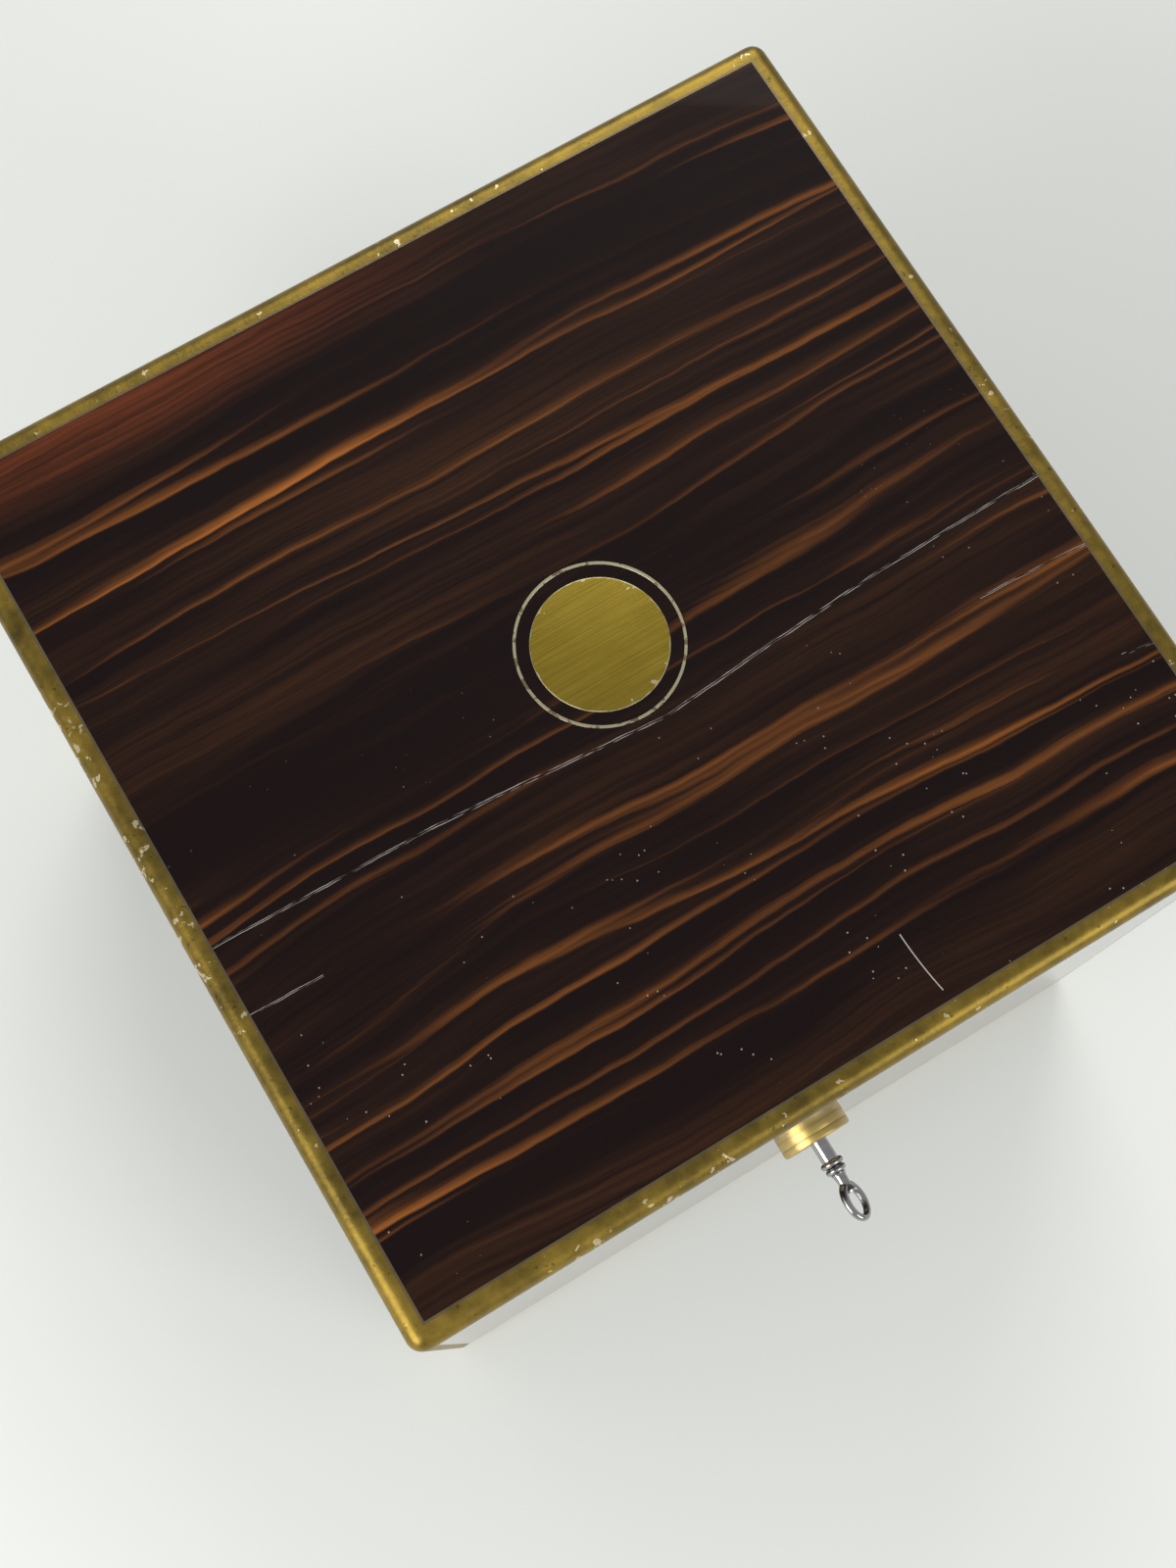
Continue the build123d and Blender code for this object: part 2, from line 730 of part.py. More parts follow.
# Strike plate with two staples that drop into the lock
with BuildPart() as strike_plate:
    with BuildSketch(Plane.XY.offset(base_height)):
        lock_plate_outline()
    extrude(amount=rim_facing)
    with BuildSketch(Plane.XY.offset(base_height)):
        with Locations((-staple_apart / 2, bolt_y), (staple_apart / 2, bolt_y)):
            Rectangle(staple_thick, staple_width)
    extrude(amount=-staple_drop)
    with BuildSketch(Plane.YZ.offset(-staple_apart)):
        with Locations((bolt_y, eye_z)):
            Rectangle(staple_eye_wide, staple_eye_high)
    extrude(amount=2 * staple_apart, mode=Mode.SUBTRACT)
    screws(lock_screw_places, base_height + screw_sink, -1, running, Mode.SUBTRACT)
save(strike_plate, "strike_plate")

with BuildPart() as strike_screws:
    screws(lock_screw_places, base_height + screw_sink, -1)
    driver_slots(lock_screw_places, base_height + screw_sink, -1)
save(strike_screws, "strike_screws")

# Pipe key, turned from one piece with its bow, seated in the lock
key_tip = barrel_face_y + key_in
pipe_wall = pipe_radius - pipe_bore
collar_y = boss_face_y - key_stem
neck_end = collar_y - 2 * bead_length - neck_length
bow_y = neck_end - bow_long / 2 + bow_stock
with BuildPart() as key:
    with BuildSketch(Plane.YZ):
        with BuildLine():
            Polyline(
                (collar_y, lock_z),
                (key_tip, lock_z),
                (key_tip, lock_z + pipe_radius),
                (collar_y, lock_z + pipe_radius),
            )
            ThreePointArc(
                (collar_y, lock_z + pipe_radius),
                (collar_y - bead_length / 2, lock_z + bead_radius),
                (collar_y - bead_length, lock_z + pipe_radius),
            )
            ThreePointArc(
                (collar_y - bead_length, lock_z + pipe_radius),
                (collar_y - 1.5 * bead_length, lock_z + small_bead_radius),
                (collar_y - 2 * bead_length, lock_z + neck_root_radius),
            )
            Polyline(
                (collar_y - 2 * bead_length, lock_z + neck_root_radius),
                (neck_end, lock_z + neck_radius),
                (neck_end, lock_z),
                (collar_y, lock_z),
            )
        make_face()
    revolve(axis=Axis((0, 0, lock_z), (0, 1, 0)))
    with BuildSketch(Plane.XZ.offset(-key_tip)):
        with Locations((0, lock_z)):
            Circle(pipe_bore)
    extrude(amount=keyway_depth + key_stem, mode=Mode.SUBTRACT)
    with BuildSketch(Plane.XZ.offset(-key_tip)):
        with Locations((0, lock_z - pipe_radius - lug_rise)):
            Rectangle(
                lug_width, lug_rise + pipe_wall / 2, align=(Align.CENTER, Align.MIN)
            )
    extrude(amount=lug_length)
    bow_plane = Plane(
        origin=(0, bow_y, lock_z),
        x_dir=(0, -1, 0),
        z_dir=(sin(radians(bow_turn)), 0, cos(radians(bow_turn))),
    )
    with BuildLine(bow_plane) as bow_path:
        end = (bow_long - bow_wide) / 2
        bend = (bow_wide - bow_stock) / 2
        CenterArc((end, 0), bend, -90, 180)
        Line((end, bend), (-end, bend))
        CenterArc((-end, 0), bend, 90, 180)
        Line((-end, -bend), (end, -bend))
    with BuildSketch(Plane(bow_path.wire() @ 0, z_dir=bow_path.wire() % 0)):
        Circle(bow_stock / 2)
    sweep(path=bow_path.wire())
save(key, "key")


# Square cut decanters, canted at the corners and cut down to an octagonal neck
taper = degrees(atan2((decanter_side - neck_across) / 2, shoulder))
cant_across = sqrt(2) * (decanter_side - decanter_corner)
cant_taper = degrees(atan2((cant_across - neck_across) / 2, shoulder))
inner_side = decanter_side - 2 * glass_wall
inner_taper = degrees(atan2(inner_side / 2 - mouth_radius, shoulder))
for number, (x, y) in enumerate(cells, start=1):
    with BuildPart() as decanter:
        with BuildSketch(Plane((x, y, shoulder_z))):
            Rectangle(decanter_side, decanter_side)
        extrude(amount=shoulder, taper=taper)
        with BuildSketch(Plane((x, y, shoulder_z))):
            Rectangle(cant_across, cant_across, rotation=45)
        extrude(amount=shoulder, taper=cant_taper, mode=Mode.INTERSECT)
        with BuildSketch(Plane((x, y, room_floor))):
            Rectangle(decanter_side, decanter_side)
            chamfer(vertices(), decanter_corner)
        extrude(amount=decanter_body)
        with BuildSketch(Plane((x, y, neck_z))):
            RegularPolygon(neck_across / 2, 8, major_radius=False, rotation=22.5)
        extrude(amount=neck_height)
        with BuildSketch(Plane((x, y, lip_z))):
            Circle(lip_radius)
        extrude(amount=lip_height)
        chamfer(faces().sort_by(Axis.Z)[-1].edges(), lip_break)
        with BuildSketch(Plane((x, y, room_floor + cut_low))):
            with GridLocations(cut_pitch, decanter_side, cut_count, 2):
                Rectangle(cut_depth, cut_depth, rotation=45)
            with GridLocations(decanter_side, cut_pitch, 2, cut_count):
                Rectangle(cut_depth, cut_depth, rotation=45)
        extrude(amount=cut_height, mode=Mode.SUBTRACT)
        with BuildSketch(Plane((x, y, room_floor + glass_base))):
            Rectangle(inner_side, inner_side)
        extrude(amount=decanter_body - glass_base, mode=Mode.SUBTRACT)
        with BuildSketch(Plane((x, y, shoulder_z))):
            Rectangle(inner_side, inner_side)
        extrude(amount=shoulder, taper=inner_taper, mode=Mode.SUBTRACT)
        with BuildSketch(Plane((x, y, shoulder_z))):
            Circle(mouth_radius)
        extrude(amount=shoulder + neck_height + lip_height, mode=Mode.SUBTRACT)
    save(decanter, f"decanter_{number}")

    with BuildPart() as stopper:
        with BuildSketch(Plane((x, y, decanter_top - plug_length))):
            Circle(mouth_radius - stopper_fit)
        extrude(amount=plug_length)
        with BuildSketch(Plane((x, y, decanter_top))):
            Circle(stopper_collar)
        extrude(amount=stopper_collar_height)
        with BuildSketch(Plane((x, y, decanter_top + stopper_collar_height))):
            RegularPolygon(stopper_waist, 8, rotation=22.5)
        extrude(amount=stopper_waist_height)
        with BuildSketch(Plane((x, y, stopper_girdle))):
            RegularPolygon(stopper_head_radius, 8, rotation=22.5)
        extrude(amount=stopper_crown_height, taper=crown_taper)
        with BuildSketch(Plane((x, y, stopper_girdle))):
            RegularPolygon(stopper_head_radius, 8, rotation=22.5)
        extrude(amount=-stopper_under_height, taper=under_taper)
    save(stopper, f"stopper_{number}")
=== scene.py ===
import math

import bmesh
import bpy
from mathutils import Matrix, Vector


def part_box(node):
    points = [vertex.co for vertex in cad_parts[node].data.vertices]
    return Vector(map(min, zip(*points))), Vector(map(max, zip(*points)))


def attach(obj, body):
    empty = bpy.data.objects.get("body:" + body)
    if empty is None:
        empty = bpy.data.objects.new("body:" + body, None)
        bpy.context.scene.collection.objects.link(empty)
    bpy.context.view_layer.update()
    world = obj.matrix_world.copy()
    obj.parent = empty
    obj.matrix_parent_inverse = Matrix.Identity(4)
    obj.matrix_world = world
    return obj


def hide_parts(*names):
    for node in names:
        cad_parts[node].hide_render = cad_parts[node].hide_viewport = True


bl_info = {
    "name": "Decanter box",
    "version": (1, 0, 0),
    "blender": (4, 5, 0),
    "location": "3D View > Sidebar > Decanter Box",
    "description": "Veneers, brass, lock, lining and glass of a square decanter box",
    "category": "Object",
}

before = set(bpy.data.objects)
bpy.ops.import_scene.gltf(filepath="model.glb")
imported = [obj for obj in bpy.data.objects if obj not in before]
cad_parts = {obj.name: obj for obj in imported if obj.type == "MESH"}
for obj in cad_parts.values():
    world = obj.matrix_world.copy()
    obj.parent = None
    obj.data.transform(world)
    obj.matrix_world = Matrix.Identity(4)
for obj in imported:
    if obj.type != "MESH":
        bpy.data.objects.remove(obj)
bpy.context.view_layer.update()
MM = 0.001

# The camera's right, down and forward, and where it stands
VIEW_RIGHT = (0.85664598, -0.51544948, 0.02166781)
VIEW_DOWN = (-0.49498861, -0.83302788, -0.24708465)
VIEW_FORWARD = (0.14540955, 0.20093876, -0.96875161)
VIEW_PLACE = (-0.09441, -0.13053, 0.73416)
VIEW_LENS = 50.0
VIEW_SENSOR = 36.0

# Soft lamps aimed at the box's middle: name, place, side and power
BOX_MIDDLE = Vector((0, 0, 0.12))
LAMPS = (
    ("window", (-1.3, -0.5, 1.0), 1.1, 20.0),
    ("far_window", (0.9, 1.4, 1.6), 1.2, 16.0),
    ("fill", (0.7, -1.5, 0.9), 0.9, 9.0),
)

# Colours that no property changes
PORE = (0.004, 0.002, 0.0015, 1)
VENEER_SEAM = (0.002, 0.0015, 0.001, 1)
BACK_RED = (0.17, 0.042, 0.014, 1)
SPLIT_CORE = (0.004, 0.004, 0.004, 1)
SCRATCH_WHITE = (0.50, 0.46, 0.42, 1)
SPECK = (0.42, 0.36, 0.30, 1)
CHIP = (0.62, 0.54, 0.34, 1)
DIRT = (0.05, 0.035, 0.015, 1)
EDGING_BORDER = (0.13, 0.11, 0.085, 1)
BRASS_SEAM = (0.02, 0.014, 0.006, 1)
PLATE_EDGE = (0.55, 0.50, 0.32, 1)
BOSS_DULL = (0.40, 0.29, 0.15, 1)
RUST = (0.10, 0.05, 0.025, 1)
FILED_STEEL = (0.30, 0.29, 0.28, 1)
POLISHED_STEEL = (0.36, 0.35, 0.35, 1)
PIN_STEEL = (0.35, 0.34, 0.33, 1)
CLEAR_GLASS = (0.97, 0.99, 0.98, 1)
SMEARED_GLASS = (0.92, 0.96, 0.95, 1)
SKY = (0.97, 0.98, 1.0, 1)
BARE_WOOD = (0.14, 0.070, 0.030, 1), (0.27, 0.15, 0.070, 1)
FACING_WOOD = (0.035, 0.014, 0.008, 1), (0.10, 0.040, 0.018, 1)
BAIZE = (0.018, 0.055, 0.026, 1), (0.045, 0.10, 0.05, 1)
RING_BRASS = (0.50, 0.45, 0.29, 1)

SMOOTH_ANGLE = math.radians(35)
WELD = 0.000002
PARTING_HALF = 0.0002

# How far an edge's middle lies from its bar's middle: more than NEAR to be off the
# middle at all, more than FAR to be at the end of a strip or the top of a divider
NEAR = 0.001
FAR = 0.01

# Half the side of the veneered square inside the brass edging
VENEER_REACH = 0.1145

# Above this height a point is on the lid's top, and beyond this far out on its edging
TOP_HEIGHT = 0.239
EDGING_INNER = 0.112

# Radius of the round plate where its rim shows pale, and where the rim is chipped
PLATE_RIM = 0.01665
PLATE_CHIPPED = 0.0145

# The key: pipe, beads (middle along the key and radius), neck, bow and lug
PIPE_RADIUS = 0.0025
KEY_BEADS = ((-0.0072, 0.0035), (-0.0092, 0.0031))
BEAD_HALF = 0.0010
KEY_NECK = [
    (-0.0104, 0.0022),
    (-0.0112, 0.0019),
    (-0.0130, 0.0017),
    (-0.0148, 0.0018),
    (-0.0160, 0.0021),
    (-0.0166, 0.0018),
    (-0.0168, 0),
]
BOW_HALF_LONG = 0.0062
BOW_HALF_WIDE = 0.0049
BOW_STOCK = 0.00115
KEY_LUG = (0.0012, 0.0035, 0.0016)

# Hairline splits on the lid's top, in mm: start x and y, end x and y, half width
CRACKS = (
    (-114.2, -17.1, -57.1, -18.5, 0.16),
    (-57.1, -18.5, 4.3, -23.2, 0.20),
    (4.3, -23.2, 59.5, -18.9, 0.20),
    (59.5, -18.9, 114.2, -17.4, 0.17),
    (-114.2, -35.4, -95.5, -35.8, 0.14),
    (84.6, -36.6, 114.2, -38.0, 0.14),
    (106.0, -65.9, 114.2, -67.2, 0.14),
)

# The white scratch near the front: where it starts, the y where it ends, half width
SCRATCH_TOP = (0.0232, -0.096)
SCRATCH_END = -0.1115
SCRATCH_HALF = 0.00013


def rgb(prop):
    """A colour property as four numbers."""
    return (prop[0], prop[1], prop[2], 1.0)


def shade_of(colour, share):
    """A colour times share, which darkens it below 1 and lightens it above."""
    return tuple(share * part for part in colour[:3]) + (1,)


def feed(tree, slot, item):
    """Links a Value to a socket, or sets the socket to a plain value."""
    if isinstance(item, Value):
        tree.links.new(item.socket, slot)
    else:
        slot.default_value = item


class Value:
    """A shader socket that sums can be written on."""

    def __init__(self, tree, socket):
        self.tree = tree
        self.socket = socket

    def math(self, operation, *items):
        node = self.tree.nodes.new("ShaderNodeMath")
        node.operation = operation
        for slot, item in zip(node.inputs, items):
            feed(self.tree, slot, item)
        return Value(self.tree, node.outputs[0])

    def __add__(self, other):
        return self.math("ADD", self, other)

    def __radd__(self, other):
        return self.math("ADD", other, self)

    def __sub__(self, other):
        return self.math("SUBTRACT", self, other)

    def __rsub__(self, other):
        return self.math("SUBTRACT", other, self)

    def __mul__(self, other):
        return self.math("MULTIPLY", self, other)

    def __rmul__(self, other):
        return self.math("MULTIPLY", other, self)

    def __truediv__(self, other):
        return self.math("DIVIDE", self, other)

    def __pow__(self, other):
        return self.math("POWER", self, other)

    def __gt__(self, other):
        return self.math("GREATER_THAN", self, other)

    def __lt__(self, other):
        return self.math("LESS_THAN", self, other)

    def __abs__(self):
        return self.math("ABSOLUTE", self)

    def clamp(self):
        return self.math("MINIMUM", self.math("MAXIMUM", self, 0.0), 1.0)

    def ease(self, low, high):
        """0 below low, 1 above high, and a straight rise between them."""
        return ((self - low) / (high - low)).clamp()


class Finish:
    """A material and the nodes that make it."""

    def __init__(self, name, **constants):
        self.material = bpy.data.materials.new(name)
        self.material.use_nodes = True
        self.tree = self.material.node_tree
        self.tree.nodes.clear()
        self.shader = self.tree.nodes.new("ShaderNodeBsdfPrincipled")
        self.out = self.tree.nodes.new("ShaderNodeOutputMaterial")
        self.tree.links.new(self.shader.outputs[0], self.out.inputs[0])
        self.set(**constants)
        self.place = self.node("ShaderNodeTexCoord", output="Object")
        self.x, self.y, self.z = self.split(self.place)

    def node(self, kind, settings=None, inputs=None, output=0):
        made = self.make(kind, settings, inputs)
        return Value(self.tree, made.outputs[output])

    def make(self, kind, settings=None, inputs=None):
        """Adds a node: its settings first, then the values or links of its sockets."""
        made = self.tree.nodes.new(kind)
        for key, item in (settings or {}).items():
            setattr(made, key, item)
        for key, item in (inputs or {}).items():
            feed(self.tree, made.inputs[key], item)
        return made

    def split(self, vector):
        made = self.make("ShaderNodeSeparateXYZ", inputs={0: vector})
        return [Value(self.tree, socket) for socket in made.outputs]

    def vector(self, x, y, z=0.0):
        return self.node("ShaderNodeCombineXYZ", inputs={0: x, 1: y, 2: z})

    def noise(self, vector, scale=1.0, detail=3.0, rough=0.5, distortion=0.0):
        inputs = {
            "Vector": vector,
            "Scale": scale,
            "Detail": detail,
            "Roughness": rough,
            "Distortion": distortion,
        }
        return self.node("ShaderNodeTexNoise", inputs=inputs)

    def cells(self, vector, scale):
        return self.node(
            "ShaderNodeTexVoronoi",
            {"feature": "F1"},
            {"Vector": vector, "Scale": scale},
            "Distance",
        )

    def mix(self, share, first, second):
        """A colour between two colours."""
        inputs = {0: share, 6: first, 7: second}
        return self.node("ShaderNodeMix", {"data_type": "RGBA"}, inputs, 2)

    def set(self, **links):
        for key, item in links.items():
            feed(self.tree, self.shader.inputs[key.replace("_", " ")], item)

    def parting(self, node):
        """The line where the lid meets the base, on faces that stand upright."""
        normal = self.node("ShaderNodeNewGeometry", output="Normal")
        upright = abs(self.split(normal)[2]) < 0.5
        return (abs(self.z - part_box(node)[1].z) < PARTING_HALF) * upright

    def bump(self, height, depth):
        """Raises the surface by height times depth, in metres."""
        inputs = {"Height": height, "Distance": depth}
        self.set(Normal=self.node("ShaderNodeBump", inputs=inputs))


def streak_band(finish, along, wavy, pitch, fade, seed):
    """Streaks about pitch apart: each has one sharp edge and fades away from it."""
    drift = finish.noise(finish.vector(along * 2.2, wavy * 24.0, seed), detail=2.0)
    phase = wavy / pitch + drift * 2.6
    band = phase.math("FLOOR", phase)
    rise = phase - band
    strength = finish.noise(finish.vector(band * 7.31, along * 2.8, seed), detail=2.0)
    edge = (rise * fade * 2.5).clamp() * (1.0 - rise) ** fade
    return edge * strength.ease(0.40, 0.66)


def streaked_veneer(name, looks, on_top):
    """Near-black veneer with wavy orange-brown streaks along the grain, under polish."""
    finish = Finish(name, IOR=1.5, Coat_Roughness=0.03, Coat_IOR=1.5)
    if on_top:
        along, across = finish.x, finish.y
    else:
        normal = finish.node("ShaderNodeNewGeometry", output="Normal")
        facing_x = abs(finish.split(normal)[0]) > 0.5
        along = finish.x * (1.0 - facing_x) + (finish.y + 0.31) * facing_x
        across = finish.z
    sway = finish.noise(finish.vector(along * 6.0, across * 9.0, 3.1), 1.0, 2.0) - 0.5
    ripple = finish.noise(finish.vector(along * 42.0, across * 60.0, 7.7), 1.0, 3.0) - 0.5
    calm = 0.013 + 0.013 * (0.0 - across).ease(-0.03, 0.05)
    wavy = across + sway * calm + ripple * 0.0026
    fine = finish.noise(finish.vector(along * 9.0, wavy * 620.0, 5.9), 1.0, 5.0, 0.65)
    glow = finish.noise(finish.vector(along * 4.0, wavy * 60.0, 1.3), 1.0, 3.0, 0.6)
    patch = finish.noise(finish.vector(along * 6.0, across * 16.0, 9.1), 1.0, 2.0)
    pores = finish.noise(finish.vector(along * 90.0, wavy * 2600.0, 2.2), 1.0, 2.0, 0.6)
    wide = streak_band(finish, along, wavy, 0.027, 9.0, 12.5)
    middling = streak_band(finish, along, wavy, 0.019, 6.5, 22.3)
    narrow = streak_band(finish, along, wavy, 0.0085, 4.0, 31.7)
    warm = wide * 0.95 + middling * 0.8 + narrow * 0.7
    warm = warm * (0.35 + 0.85 * patch.ease(0.35, 0.65)) * (0.45 + 1.0 * fine)
    brown = (glow.ease(0.46, 0.72) * 0.62 + warm).clamp()
    brown = brown * (0.1 + 1.3 * fine.ease(0.3, 0.75))
    colour = finish.mix(brown, rgb(looks.veneer_dark), rgb(looks.veneer_mid))
    colour = finish.mix(warm.ease(0.16, 0.95), colour, rgb(looks.veneer_streak))
    if on_top:
        back_left = across.ease(0.098, 0.110) * (0.0 - along).ease(-0.03, 0.06)
        dark, red = rgb(looks.veneer_dark), BACK_RED
        reddish = finish.mix(fine.ease(0.3, 0.7), dark, red)
        colour = finish.mix(back_left * 0.8, colour, reddish)
    colour = finish.mix(pores.ease(0.60, 0.75) * 0.5, colour, PORE)
    height = fine * 0.35 + pores * 0.35
    seam = finish.parting("case_veneer")
    colour = finish.mix(seam * 0.9, colour, VENEER_SEAM)
    if on_top:
        colour, height = aged_top(finish, colour, height, looks)
    finish.set(Base_Color=colour, Roughness=0.34 + 0.12 * fine)
    if on_top:
        finish.set(Coat_Weight=0.03 + 0.05 * patch, Specular_IOR_Level=0.06)
    else:
        finish.set(Coat_Weight=0.9 - 0.1 * patch, Specular_IOR_Level=0.1)
    finish.bump(height, 0.00006)
    return finish.material


def aged_top(finish, colour, height, looks):
    """Hairline splits along the grain, one scratch and pale specks on the lid's top."""
    wander = (finish.noise(finish.place, 90.0, 3.0) - 0.5) * 0.0011
    pale, core = 0.0, 0.0
    for x0, y0, x1, y1, half in CRACKS:
        slope = (y1 - y0) / (x1 - x0)
        line = (finish.x - x0 * MM) * slope + y0 * MM
        away = abs(finish.y + wander - line)
        beside = (finish.x > x0 * MM) * (finish.x < x1 * MM)
        core = core + (away < half * MM * 0.7) * beside
        pale = pale + (abs(away - half * MM * 1.35) < half * MM * 0.55) * beside
    worn = finish.noise(finish.vector(finish.x * 160.0, finish.y * 1500.0), 1.0, 2.0)
    splits = core.clamp()
    colour = finish.mix(splits * 0.9, colour, SPLIT_CORE)
    colour = finish.mix(pale.clamp() * worn.ease(0.40, 0.56) * 0.8, colour, rgb(looks.split))
    fall = finish.y - SCRATCH_TOP[1]
    bow = fall * fall * 5.0 - fall * 0.02
    scratch = abs(finish.x - SCRATCH_TOP[0] - bow) < SCRATCH_HALF
    scratch = scratch * (fall < 0.0005) * (fall > SCRATCH_END - SCRATCH_TOP[1])
    colour = finish.mix(scratch * 0.8, colour, SCRATCH_WHITE)
    front = (0.0 - finish.y).ease(-0.02, 0.08)
    specks = finish.cells(finish.place, 380.0) < 0.085
    chosen = finish.noise(finish.place, 60.0, 2.0) > 0.56
    colour = finish.mix(specks * chosen * front * 0.6, colour, SPECK)
    return colour, height - splits * 2.0


def edging_brass(name, looks):
    """Old lacquered brass: olive where it has toned, bright where it is rubbed."""
    finish = Finish(name, Metallic=1.0, IOR=1.5)
    tone = finish.noise(finish.place, 24.0, 4.0, 0.6)
    mottle = finish.noise(finish.place, 160.0, 4.0, 0.65)
    colour = finish.mix(
        (tone * 0.6 + mottle * 0.5).ease(0.38, 0.72),
        rgb(looks.brass_toned),
        rgb(looks.brass_bright),
    )
    front = (finish.y < -EDGING_INNER) * (finish.x > -0.091) * (finish.x < -0.020)
    left = (finish.x < -EDGING_INNER) * (finish.y > -0.030) * (finish.y < 0.060)
    few = 0.66 - 0.06 * (front + left) * (finish.z > 0.2)
    chips = finish.noise(finish.place, 330.0, 3.0, 0.6) > few
    area = finish.noise(finish.place, 95.0, 2.0) > 0.52
    colour = finish.mix(chips * area * 0.8, colour, CHIP)
    dirt = finish.noise(finish.place, 420.0, 2.0, 0.7) < 0.31
    colour = finish.mix(dirt * 0.6, colour, DIRT)
    reach = finish.x.math("MAXIMUM", abs(finish.x), abs(finish.y))
    border = (reach < VENEER_REACH + mottle * 0.0006) * (finish.z > TOP_HEIGHT)
    colour = finish.mix(border * 0.7, colour, EDGING_BORDER)
    seam = finish.parting("case_corner_edging")
    colour = finish.mix(seam * 0.85, colour, BRASS_SEAM)
    hairs = finish.noise(finish.place, 900.0, 2.0)
    finish.set(Base_Color=colour, Roughness=0.22 + 0.22 * mottle + 0.12 * tone)
    finish.bump(hairs * 0.5 + mottle, 0.00008)
    return finish.material


def plate_brass(name, looks):
    """Brushed brass with fine scratches along the grain of the lid."""
    finish = Finish(name, Metallic=1.0)
    brushed = finish.noise(finish.vector(finish.x * 30.0, finish.y * 1900.0), 1.0, 4.0, 0.7)
    swirl = finish.noise(finish.vector(finish.x * 60.0, finish.y * 420.0, 4.0), 1.0, 3.0)
    stain = finish.noise(finish.place, 70.0, 3.0)
    tone = (stain * 0.25 + swirl * 0.25 + brushed * 0.7).ease(0.46, 0.74)
    colour = finish.mix(tone, rgb(looks.plate_dark), rgb(looks.plate))
    reach = (finish.x ** 2.0 + finish.y ** 2.0) ** 0.5
    chipped = finish.noise(finish.place, 420.0, 2.0)
    ragged = PLATE_RIM - (chipped - 0.5) * 0.0009
    rim = (reach > ragged) + (reach > PLATE_CHIPPED) * (chipped > 0.68)
    colour = finish.mix(rim.clamp() * 0.7, colour, PLATE_EDGE)
    finish.set(Base_Color=colour, Roughness=0.34 + 0.22 * brushed)
    finish.bump(brushed + swirl * 0.6, 0.00005)
    return finish.material


def turned_brass(name, looks):
    """Brass from the lathe, with turning lines round the lock's axis."""
    finish = Finish(name, Metallic=1.0)
    lines = finish.noise(finish.vector(0.0, finish.y * 3600.0, 0.0), 1.0, 2.0, 0.7)
    tone = finish.noise(finish.place, 95.0, 3.0)
    colour = finish.mix(tone.ease(0.35, 0.7), rgb(looks.boss), BOSS_DULL)
    finish.set(Base_Color=colour, Roughness=0.27 + 0.16 * lines)
    finish.bump(lines, 0.00006)
    return finish.material


def steel(name, colour, rough, spots):
    """Steel, polished or filed, with faint marks and a few rust specks."""
    finish = Finish(name, Metallic=1.0)
    marks = finish.noise(finish.place, 700.0, 3.0)
    rust = finish.noise(finish.place, 420.0, 3.0) > 1.0 - spots
    shade = finish.mix(marks.ease(0.3, 0.8), colour, shade_of(colour, 0.82))
    shade = finish.mix(rust * 0.7, shade, RUST)
    finish.set(Base_Color=shade, Roughness=rough + 0.12 * marks)
    finish.bump(marks, 0.00002)
    return finish.material


def plain_wood(name, dark, light, along):
    """Straight-grained board. along is 0 for X, 1 for Y or 2 for Z."""
    finish = Finish(name, IOR=1.5)
    grain_scale = [260.0, 260.0, 260.0]
    grain_scale[along] = 9.0
    axes = (finish.x, finish.y, finish.z)
    stretched = [axis * scale for axis, scale in zip(axes, grain_scale)]
    grain = finish.noise(finish.vector(*stretched), 1.0, 4.0, 0.6, 0.4)
    closer = [axis * 6 for axis in stretched]
    pores = finish.noise(finish.vector(*closer), 1.0, 2.0, 0.6)
    colour = finish.mix(grain.ease(0.3, 0.75), dark, light)
    finish.set(Base_Color=colour, Roughness=0.45 + 0.2 * pores)
    finish.bump(grain + pores, 0.0001)
    return finish.material


def pile_cloth(name, colour, worn, weave):
    """Velvet or baize: a short pile that is thinner in patches."""
    finish = Finish(name, Sheen_Weight=0.5, Sheen_Roughness=0.4)
    pile = finish.noise(finish.place, weave, 2.0, 0.7)
    nap = finish.noise(finish.place, 55.0, 3.0)
    shade = finish.mix((pile * 0.6 + nap * 0.6).ease(0.35, 0.85), colour, worn)
    finish.set(Base_Color=shade, Roughness=0.85 + 0.1 * pile)
    finish.bump(pile, 0.0003)
    return finish.material


def cut_glass(name):
    """Clear lead glass, with faint waves from the cutter's wheel."""
    finish = Finish(name, Transmission_Weight=1.0, IOR=1.54)
    waves = finish.noise(finish.place, 60.0, 2.0)
    smears = finish.noise(finish.place, 25.0, 3.0)
    tint = finish.mix(smears, CLEAR_GLASS, SMEARED_GLASS)
    finish.set(Base_Color=tint, Roughness=0.01 + 0.03 * smears)
    finish.bump(waves, 0.00004)
    return finish.material


def dress(node, finish):
    """Gives a CAD node a finish."""
    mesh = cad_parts[node].data
    mesh.materials.clear()
    mesh.materials.append(finish)


def finished(name, bm, finish, body, replaced):
    """Makes an object of a mesh, smooth but for its sharp edges, on its body."""
    bmesh.ops.remove_doubles(bm, verts=bm.verts, dist=WELD)
    bmesh.ops.recalc_face_normals(bm, faces=bm.faces)
    for face in bm.faces:
        face.smooth = True
    for edge in bm.edges:
        edge.smooth = edge.is_manifold and edge.calc_face_angle(0.0) < SMOOTH_ANGLE
    mesh = bpy.data.meshes.new(name)
    bm.to_mesh(mesh)
    bm.free()
    mesh.materials.append(finish)
    piece = bpy.data.objects.new(name, mesh)
    bpy.context.scene.collection.objects.link(piece)
    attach(piece, body)
    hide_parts(replaced)


